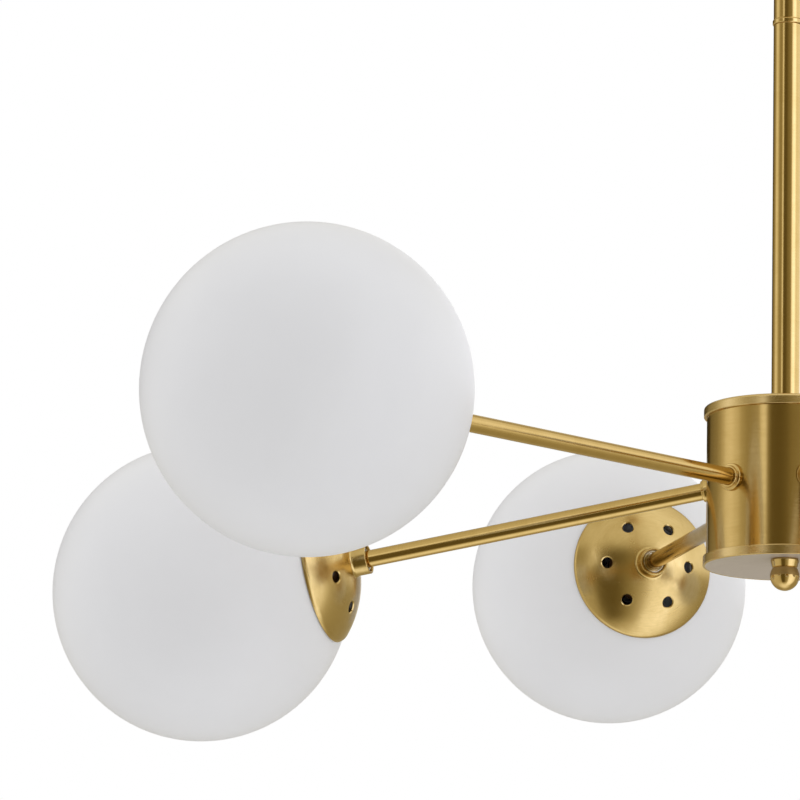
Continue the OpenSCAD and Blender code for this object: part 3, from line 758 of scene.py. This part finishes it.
# cups: a shallow spun dish with vents, a concave foot and a collar. The dish follows the
# photograph, and is up to 3.9 mm shallower towards its edge than the frame's cup
cup = {"rimR": 38.0, "domeR": 54.5, "shoulderR": 3.5, "wall": 1.2, "collarR": 7.5,
       "collarLength": 7.7, "footBlend": 1.6, "lip": 0.35, "ventR": 2.9, "ventChamfer": 0.5,
       "ventCircle": 22.8, "ventCount": 6, "ventTurns": {"level": 30, "droop": 3},
       "bandIn": 15.5, "bandOut": 29.5, "columns": 24, "rows": 12, "rings": 7,
       "outerTurn": -7, "innerTurn": -14}
cup["domeZ"] = math.sqrt((cup["domeR"] - cup["shoulderR"]) ** 2
                         - (cup["rimR"] - cup["shoulderR"]) ** 2)


def domeHeight(r, inset=0):
    return cup["domeZ"] - math.sqrt((cup["domeR"] - inset) ** 2 - r * r)


def domeRun(start, end, steps, inset=0):
    radii = [start + (end - start) * k / steps for k in range(1, steps + 1)]
    return [(r, domeHeight(r, inset)) for r in radii]


def bridgeRings(build, rings):
    for near, far in zip(rings, rings[1:]):
        for k in range(len(near)):
            t = (k + 1) % len(near)
            build.faces.new((near[k], near[t], far[t], far[k]))


def cupShellMesh():
    # the cup's section without the band that the vents lie in, as two open skins
    wall = cup["wall"]
    bend = math.degrees(math.atan2(-cup["domeZ"], cup["rimR"] - cup["shoulderR"]))
    shoulderX = cup["rimR"] - cup["shoulderR"]
    foot = cup["collarR"] + cup["footBlend"]
    face = domeHeight(cup["collarR"]) - cup["collarLength"]
    seatR = cup["rimR"] - wall
    seatZ = rimToCentre - math.sqrt((globeR / mm + globe["seatGap"]) ** 2 - seatR ** 2)
    lip = cup["lip"]
    outside = arcPoints(cup["rimR"] - lip, -lip, lip, 90, 0, 3)
    outside += arcPoints(shoulderX, 0, cup["shoulderR"], cup["outerTurn"], bend, 10)
    outside += domeRun(outside[-1][0], cup["bandOut"], 5)
    foothill = [(cup["bandIn"], domeHeight(cup["bandIn"]))]
    foothill += domeRun(cup["bandIn"], foot, 6)[:-1]
    footZ = domeHeight(foot) - cup["footBlend"]
    foothill += arcPoints(foot, footZ, cup["footBlend"], 90, 180, 6)
    bore = cup["collarR"] - wall
    rest = [(cup["collarR"], face + lip)] + arcPoints(
        cup["collarR"] - lip, face + lip, lip, 0, -90, 3) + arcPoints(
        bore + lip, face + lip, lip, -90, -180, 3)
    inside = [(bore, domeHeight(bore, wall))]
    inside += domeRun(bore, cup["bandIn"], 6, wall)
    turnIn = arcPoints(shoulderX, 0, cup["shoulderR"] - wall, bend, cup["innerTurn"], 6)
    inward = [(cup["bandOut"], domeHeight(cup["bandOut"], wall))]
    inward += domeRun(cup["bandOut"], turnIn[0][0], 5, wall) + turnIn[1:]
    inward += [(seatR, seatZ), (cup["rimR"] - globe["rimLand"] - lip / 2, 0)]
    segments = cup["columns"] * cup["ventCount"]
    build = bmesh.new()
    for strip in (inward + outside, foothill + rest + inside):
        rings = []
        for r, z in strip:
            rings.append([build.verts.new((r * math.cos(2 * math.pi * k / segments) * mm,
                                           r * math.sin(2 * math.pi * k / segments) * mm,
                                           z * mm)) for k in range(segments)])
        bridgeRings(build, rings)
    return meshFrom(build, "cupShell")


def ventSectorMesh():
    # one sixth of the dish's band, both skins, with its vent between them
    centre = Vector((0, 0, cup["domeZ"]))
    half = math.pi / cup["ventCount"]
    low, high = cup["bandIn"], cup["bandOut"]
    columns, rows = cup["columns"], cup["rows"]
    border = [(low, -half + 2 * half * k / columns) for k in range(columns)]
    border += [(low + (high - low) * k / rows, half) for k in range(rows)]
    border += [(high, half - 2 * half * k / columns) for k in range(columns)]
    border += [(high - (high - low) * k / rows, -half) for k in range(rows)]

    def onDome(r, turn, inset):
        return Vector((r * math.cos(turn), r * math.sin(turn), domeHeight(r, inset)))

    aim = (onDome(cup["ventCircle"], 0, 0) - centre).normalized()
    side = Vector((0, 1, 0))
    rise = side.cross(aim)
    build = bmesh.new()

    def ventRing(radius, reach):
        made = []
        for r, turn in border:
            toward = onDome(r, turn, 0) - onDome(cup["ventCircle"], 0, 0)
            spoke = math.atan2(toward.dot(rise), toward.dot(side))
            made.append(centre + aim * reach
                        + (side * math.cos(spoke) + rise * math.sin(spoke)) * radius)
        return made

    def skin(inset, radius):
        reach = cup["domeR"] - inset
        hole = ventRing(radius, math.sqrt(reach ** 2 - radius ** 2))
        edge = [onDome(r, turn, inset) for r, turn in border]
        loops = []
        for k in range(cup["rings"] + 1):
            share = 1 - (1 - k / cup["rings"]) ** 1.5
            loops.append([centre + (a.lerp(b, share) - centre).normalized() * reach
                          for a, b in zip(edge, hole)])
        loops[0] = edge
        return loops

    outer = skin(0, cup["ventR"] + cup["ventChamfer"])
    inner = skin(cup["wall"], cup["ventR"])
    throat = ventRing(cup["ventR"], math.sqrt(cup["domeR"] ** 2 - cup["ventR"] ** 2)
                      - cup["ventChamfer"])
    chain = outer + [throat] + inner[::-1]
    bridgeRings(build, [[build.verts.new(co * mm) for co in loop] for loop in chain])
    return meshFrom(build, "ventSector")


def cupMesh(turn):
    shell = bpy.data.objects.new("cupShell", cupShellMesh())
    bpy.context.scene.collection.objects.link(shell)
    mesh = runTree(repeatRound, ventSectorMesh(), {
        "Count": cup["ventCount"], "First Turn": math.radians(turn), "Lift": 0.0,
        "Joined To": shell, "Material": finish["brassSpun"]})
    bpy.data.objects.remove(shell)
    build = bmesh.new()
    build.from_mesh(mesh)
    mesh = meshFrom(build, "cup")
    markTurned(mesh)
    return mesh


def buildCups():
    for i in armNumbers:
        turn = cup["ventTurns"]["droop" if armAxis(i).z < -0.01 else "level"]
        addPiece(f"cup_{i}_dish", cupMesh(turn), ["brassSpun"], "fixture",
                 [f"cup_{i}"], rimPlace(i))


buildCups()
print("cups spun")


# arms, their ferrules on the drum and the nickel rings in the collars
arm = {"r": 4.25, "bore": 3.15, "tail": 10.0, "endDepth": 7.78, "edge": 0.25}
ferrule = {"bore": 4.3, "flangeR": 6.7, "root": -2.3, "flange": 1.6, "beadR": 5.35,
           "top": 2.9, "edge": 0.45}
collarRing = {"inR": 4.3, "outR": 6.25, "lipIn": 5.0, "lipOut": 5.7, "back": -20.1,
              "floor": -21.7, "lip": -23.2}
# the ring that grips the globe's neck: (radius, height) of its corners inside the cup
fitterRing = [(28.3, -6.75), (29.3, -6.75), (32.2, -4.7), (28.3, -4.7)]


def armMesh(i):
    end = globeReach(i) / mm - rimToCentre - arm["endDepth"]
    edge = arm["edge"]
    return latheMesh("arm", roundedOutline([
        (arm["bore"], -arm["tail"], edge), (arm["r"], -arm["tail"], edge),
        (arm["r"], end, edge), (arm["bore"], end, edge)]), 64)


def ferruleMesh():
    f = ferrule
    return latheMesh("ferrule", roundedOutline([
        (f["bore"], f["root"], 0), (f["flangeR"], f["root"], 0),
        (f["flangeR"], f["flange"], f["edge"]), (f["beadR"], f["flange"], 0.2),
        (f["beadR"], f["top"], f["edge"]), (f["bore"], f["top"], 0.2)]), 72)


def collarRingMesh():
    c = collarRing
    return latheMesh("collarRing", roundedOutline([
        (c["inR"], c["back"], 0), (c["inR"], c["floor"], 0.1), (c["lipIn"], c["floor"], 0.2),
        (c["lipIn"], c["lip"], 0.25), (c["lipOut"], c["lip"], 0.25),
        (c["lipOut"], c["floor"], 0.2), (c["outR"], c["floor"], 0.1),
        (c["outR"], c["back"], 0)]), 72)


def fitterRingMesh():
    return latheMesh("fitterRing", roundedOutline([(r, z, 0.15) for r, z in fitterRing], 3), 96)


def buildArms():
    for i in armNumbers:
        addPiece(f"arm_{i}_tube", armMesh(i), ["brassTube"], "fixture",
                 [f"arm_{i}"], armPlace(i))
    for label, first in (("level", 1), ("droop", 2)):
        start = math.atan2(armAxis(first).y, armAxis(first).x)
        level = Matrix.Rotation(-start, 4, "Z") @ Matrix.Translation((0, 0, -armZ))
        made = (
            (f"ferrules_{label}", ferruleMesh(), "brassBright", "satin_brass",
             "arm_ferrules", 0),
            (f"collarRings_{label}", collarRingMesh(), "nickelPlate", "nickel",
             "cup_nuts", rimReach(first)),
            (f"fitterRings_{label}", fitterRingMesh(), "nickelPlate", "nickel",
             "fitter_rings", rimReach(first)))
        for name, mesh, look, slotName, node, along in made:
            mesh.transform(level @ armPlace(first, along))
            ring = runTree(repeatRound, mesh, {
                "Count": 3, "First Turn": start, "Lift": armZ, "Material": finish[look]})
            addPiece(name, ring, [look], "fixture", [node])


buildArms()
print("arms drawn")


# lampholders and frosted bulbs inside the globes
holder = {"footR": 14.0, "foot": -13.76, "r": 19.0, "coneTop": -3.76, "reach": 28.0,
          "socketR": 13.2, "socketFloor": 4.0, "grooves": (8.0, 12.0, 16.0),
          "grooveDepth": 0.6, "grooveMouth": 0.7, "grooveFloor": 0.4}
bulb = {"r": 22.5, "length": 50.0, "neckR": 11.5, "neckBlend": 14.0, "baseR": 12.9,
        "baseFoot": 5.2, "contactR": 4.5, "contactH": 0.8, "threads": 6, "threadSteps": 8,
        "threadStart": 3, "threadDepth": 0.5, "seam": 0.6}


def holderMesh():
    h = holder
    corners = [(0, h["foot"], 0), (h["footR"], h["foot"], 1.2), (h["r"], h["coneTop"], 2.5)]
    for z in h["grooves"]:
        deep = h["r"] - h["grooveDepth"]
        corners += [(h["r"], z - h["grooveMouth"], 0.2), (deep, z - h["grooveFloor"], 0.2),
                    (deep, z + h["grooveFloor"], 0.2), (h["r"], z + h["grooveMouth"], 0.2)]
    corners += [(h["r"], h["reach"], 1.0), (h["socketR"], h["reach"], 0.8),
                (h["socketR"], h["socketFloor"], 0.5), (0, h["socketFloor"], 0)]
    return latheMesh("holder", roundedOutline(corners), 96)


def bulbGlassMesh():
    b = bulb
    top = holder["reach"]
    centre = top + b["length"] - b["r"]
    blendR = b["neckR"] + b["neckBlend"]
    blendZ = centre - math.sqrt((b["r"] + b["neckBlend"]) ** 2 - blendR ** 2)
    meet = math.degrees(math.atan2(blendZ - centre, blendR))
    outline = [(0, top - 1), (b["neckR"], top - 1)]
    outline += arcPoints(blendR, blendZ, b["neckBlend"], 180, 180 + meet, 10)
    outline += arcPoints(0, centre, b["r"], meet, 90, 36)[1:-1] + [(0, centre + b["r"])]
    return latheMesh("bulbGlass", outline, 96)


def bulbBaseMesh():
    b = bulb
    foot, top, steps = b["baseFoot"], holder["reach"], b["threadSteps"]
    pitch = (top - 2 - foot - b["threadStart"]) / b["threads"]
    outline = [(0, foot - b["contactH"]), (b["contactR"], foot - b["contactH"]),
               (b["contactR"] + 0.5, foot), (b["baseR"] - 2, foot),
               (b["baseR"] - 0.6, foot + 1.5)]
    for k in range(b["threads"] * steps + 1):
        swell = (math.cos(2 * math.pi * k / steps) - 1) / 2 * b["threadDepth"]
        outline.append((b["baseR"] + swell, foot + b["threadStart"] + pitch * k / steps))
    outline += [(b["baseR"], top - b["seam"]), (b["neckR"] + 0.2, top + b["seam"]),
                (0, top + b["seam"])]
    return latheMesh("bulbBase", outline, 72)


def buildLamps():
    for i in armNumbers:
        place = rimPlace(i)
        # the lampholder bodies carry the dark brown painted shade that shows through the cups' vents
        addPiece(f"lampholder_{i}_body", holderMesh(), ["brownGlaze"], "fixture",
                 [f"lampholder_{i}"], place)
        addPiece(f"bulb_{i}_glass", bulbGlassMesh(), ["frostedGlass"], "fixture",
                 [f"bulb_{i}"], place)
        addPiece(f"bulb_{i}_base", bulbBaseMesh(), ["nickelPlate"], "fixture",
                 [f"bulb_{i}"], place)


buildLamps()
print("lampholders and bulbs fitted")


# drum: wall, banded caps with a dished underside, and the finial
drum = {"r": drumR / mm, "wall": 1.5, "capR": capHigh.x / mm, "band": 5.0, "plate": 2.0,
        "bandEdge": 1.4, "bevel": 0.45, "dish": 4.3, "dishPlate": 1.5, "dishSteps": 14,
        "rimIn": 1.1, "rimRise": 0.25, "capGap": 0.1}
finial = {"flareR": 7.0, "flareH": 1.6, "flareEdge": 0.4, "waistR": 6.15, "groove": 0.6,
          "ballDrop": 8.4, "ballR": 7.2, "stud": 14.0, "studR": 3.25}


def dishHeight(r):
    sphereR = (drum["capR"] ** 2 + drum["dish"] ** 2) / (2 * drum["dish"])
    return drum["dish"] - sphereR + math.sqrt(sphereR ** 2 - r * r)


def buildDrum():
    d = drum
    top = capHigh.z / mm
    low = floorCapLow.z / mm
    inner = d["r"] - d["wall"]
    wall = roundedOutline([(inner, drumLow.z / mm, 0), (d["r"], drumLow.z / mm, 0),
                           (d["r"], drumHigh.z / mm, 0), (inner, drumHigh.z / mm, 0)])
    addPiece("drumWall", latheMesh("drumWall", wall, 192), ["brassWall"], "fixture",
             ["drum_shell"])
    gap = d["r"] + d["capGap"]
    cap = roundedOutline([
        (0, top, 0), (d["capR"], top, d["bandEdge"]), (d["capR"], top - d["band"], d["bevel"]),
        (gap, top - d["band"], 0), (gap, top - d["plate"], 0), (0, top - d["plate"], 0)], 6)
    addPiece("drumTopCap", latheMesh("drumTopCap", cap, 192), ["brassBand"], "fixture",
             ["drum_top_cap"])
    steps = d["dishSteps"]
    edgeR = d["capR"] - d["rimIn"]
    under = [(edgeR * k / steps, low + dishHeight(edgeR * k / steps)) for k in range(steps + 1)]
    over = [(gap * k / steps, low + d["dishPlate"] + dishHeight(gap * k / steps))
            for k in range(steps, -1, -1)]
    band = roundedOutline([(edgeR, low + d["rimRise"], 0), (d["capR"], low, d["bevel"]),
                           (d["capR"], low + d["band"], d["bevel"]), (gap, low + d["band"], 0)], 4)
    mesh = latheMesh("drumFloorCap", under[:-1] + band + over, 192)
    piece = addPiece("drumFloorCap", mesh, ["brassBand", "paleSatin"], "fixture",
                     ["drum_bottom_cap"])
    for face in piece.data.polygons:
        if face.normal.z < -0.9 and face.center.xy.length < edgeR * mm:
            face.material_index = 1


def buildFinial():
    f = finial
    top = floorCapLow.z / mm + dishHeight(f["flareR"])
    ballZ = top - f["ballDrop"]
    waistZ = ballZ + math.sqrt(f["ballR"] ** 2 - f["waistR"] ** 2) + f["groove"]
    start = math.degrees(math.acos((f["waistR"] - f["groove"]) / f["ballR"]))
    outline = [(0, ballZ - f["ballR"])]
    outline += arcPoints(0, ballZ, f["ballR"], -90, start, 40)[1:]
    outline += roundedOutline([
        (f["waistR"] - f["groove"], waistZ - f["groove"] / 2, 0), (f["waistR"], waistZ, 0.2),
        (f["flareR"] - f["flareEdge"] / 2, top - f["flareH"], 0.3),
        (f["flareR"], top - f["flareH"] / 2, 0.2), (f["flareR"] - f["flareEdge"], top, 0)], 3)
    outline += [(f["studR"], top), (f["studR"], top + f["stud"]), (0, top + f["stud"])]
    addPiece("finialKnob", latheMesh("finialKnob", outline, 96), ["brassBright"], "fixture",
             ["finial"])


buildDrum()
buildFinial()
print("drum closed")


# stem: two rods, the bead ring between them and the collar at the top
stem = {"r": 7.0, "bore": 5.05, "edge": 0.35, "jointR": 5.0, "jointBore": 3.3, "jointEdge": 0.4,
        "beadR": 7.5, "beadEdge": 0.5, "collarR": 8.5, "collarFit": 0.05, "collarEdge": 0.5}


def tubeBetween(name, node, outer, inner, edge, segments, look):
    low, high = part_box(node)
    outline = roundedOutline([(inner, low.z / mm, edge), (outer, low.z / mm, edge),
                              (outer, high.z / mm, edge), (inner, high.z / mm, edge)])
    addPiece(name, latheMesh(name, outline, segments), [look], "fixture", [node])


def buildStem():
    s = stem
    for node in ("upper_rod", "lower_rod"):
        tubeBetween(node + "Tube", node, s["r"], s["bore"], s["edge"], 96, "brassTube")
    tubeBetween("rodCollarRing", "rod_collar", s["collarR"], s["r"] + s["collarFit"],
                s["collarEdge"], 96, "brassBright")
    lowEnd, highEnd = (corner.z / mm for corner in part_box("rod_joint"))
    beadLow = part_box("lower_rod")[1].z / mm
    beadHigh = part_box("upper_rod")[0].z / mm
    outline = roundedOutline([
        (s["jointBore"], lowEnd, 0), (s["jointR"], lowEnd, s["jointEdge"]),
        (s["jointR"], beadLow, 0), (s["beadR"], beadLow, s["beadEdge"]),
        (s["beadR"], beadHigh, s["beadEdge"]), (s["jointR"], beadHigh, 0),
        (s["jointR"], highEnd, s["jointEdge"]), (s["jointBore"], highEnd, 0)])
    addPiece("rodBead", latheMesh("rodBead", outline, 96), ["brassBright"], "fixture",
             ["rod_joint"])


buildStem()
print("stem stood")


# canopy, its knobs and the swivel
canopy = {"r": 63.5, "depth": 25.0, "wall": 1.2, "corner": 14.0, "neckR": 5.05, "lip": 0.3}
knob = {"r": 5.0, "grip": 5.0, "bevelR": 0.6, "bevel": 0.5, "ribs": 24, "ribDepth": 0.5,
        "ribEnds": (0.4, 0.8)}
connector = {"tipR": 3.5, "r": 5.5, "length": 16.0, "mouthR": 4.2, "boreR": 4.0, "bore": 12,
             "steps": 8, "ribs": 12, "ribDepth": 0.8, "ribSpan": (2, 13)}


def buildCanopy():
    c = canopy
    edge = c["r"] - c["corner"]
    low = c["corner"] - c["depth"]
    outline = [(c["neckR"], -c["depth"])]
    outline += arcPoints(edge, low, c["corner"], -90, 0, 16)
    lip = c["lip"]
    outline += arcPoints(c["r"] - lip, -lip, lip, 0, 90, 3)
    outline += arcPoints(c["r"] - c["wall"] + lip, -lip, lip, 90, 180, 3)
    outline += arcPoints(edge, low, c["corner"] - c["wall"], 0, -90, 16)
    outline += [(c["neckR"], c["wall"] - c["depth"])]
    addPiece("canopyPan", latheMesh("canopyPan", outline, 192), ["brassWall"],
             "ceiling_plate", ["canopy"])
    low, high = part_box("canopy_knobs")
    k = knob
    studX = high.x - k["r"] * mm
    top = high.z / mm
    edge = top - k["bevel"]
    build = bmesh.new()
    for side in (-1, 1):
        outline = [(0, top), (k["r"] - k["bevelR"], top), (k["r"], edge)]
        outline += [(k["r"], edge - (k["grip"] - 1) * step / 4) for step in range(1, 5)]
        outline += arcPoints(0, top - k["grip"], k["r"] - 0.2, -6, -90, 12)[:-1]
        outline += [(0, top - k["grip"] - k["r"])]
        ribs = (k["ribs"], k["ribDepth"], top - k["grip"] + k["ribEnds"][0],
                top - k["ribEnds"][1])
        mesh = latheMesh("knob", outline, 96, ribs)
        mesh.transform(Matrix.Translation((side * studX, 0, 0)))
        build.from_mesh(mesh)
    mesh = meshFrom(build, "knobs", 50)
    addPiece("canopyKnobs", mesh, ["brassBright"], "ceiling_plate",
             ["canopy_knobs"])


def buildConnectors():
    c = connector
    low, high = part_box("supply_connectors")
    build = bmesh.new()
    for x in (low.x + c["r"] * mm, high.x - c["r"] * mm):
        outline = [(0, 0)]
        outline += [(c["tipR"] + (c["r"] - c["tipR"]) * k / c["steps"],
                     c["length"] * k / c["steps"]) for k in range(c["steps"] + 1)]
        outline += [(c["mouthR"], c["length"]), (c["boreR"], c["bore"]), (0, c["bore"])]
        mesh = latheMesh("connector", outline, 72, (c["ribs"], c["ribDepth"], *c["ribSpan"]))
        place = Matrix.Translation((x, low.y, (low.z + high.z) / 2))
        mesh.transform(place @ Matrix.Rotation(-math.pi / 2, 4, "X"))
        build.from_mesh(mesh)
    addPiece("supplyConnectors", meshFrom(build, "connectors", 50), ["mouldedOrange"],
             "ceiling_plate", ["supply_connectors"])


buildCanopy()
buildConnectors()
for node, width, look, body, slotName in (
        ("mounting_strap", 0.4, "zincPlate", "ceiling_plate", "zinc_steel"),
        ("ground_screw", 0.3, "greenPaint", "ceiling_plate", "green_screw"),
        ("canopy_studs", 0.2, "zincPlate", "ceiling_plate", "zinc_steel"),
        ("stud_nuts", 0.25, "zincPlate", "ceiling_plate", "zinc_steel"),
        ("supply_lead", 0.2, "leadSheath", "ceiling_plate", "lead_sheath"),
        ("swivel_yoke", 0.35, "brassCast", "swivel", "satin_brass"),
        ("swivel_nut", 0.3, "zincPlate", "swivel", "zinc_steel"),
        ("pivot_screws", 0.3, "brassCast", "swivel", "deep_brass"),
        ("swivel_tongue", 0.3, "brassCast", "fixture", "satin_brass")):
    easedCopy(node, width, look, body)
print("canopy and swivel hung")


# the inner CAD pieces keep their shapes and get finishes
innerFinishes = {
    "stem_lead": "leadSheath", "arm_leads": "leadSheath", "drum_pipe": "zincPlate",
    "drum_nuts": "zincPlate", "terminal_block": "glazedCeramic", "arm_locknuts": "zincPlate",
}
for node, look in innerFinishes.items():
    mesh = nodes[node].data
    if not mesh.materials:
        mesh.materials.append(finish[look])
    for place in nodes[node].material_slots:
        place.material = finish[look]
print("inner pieces finished")
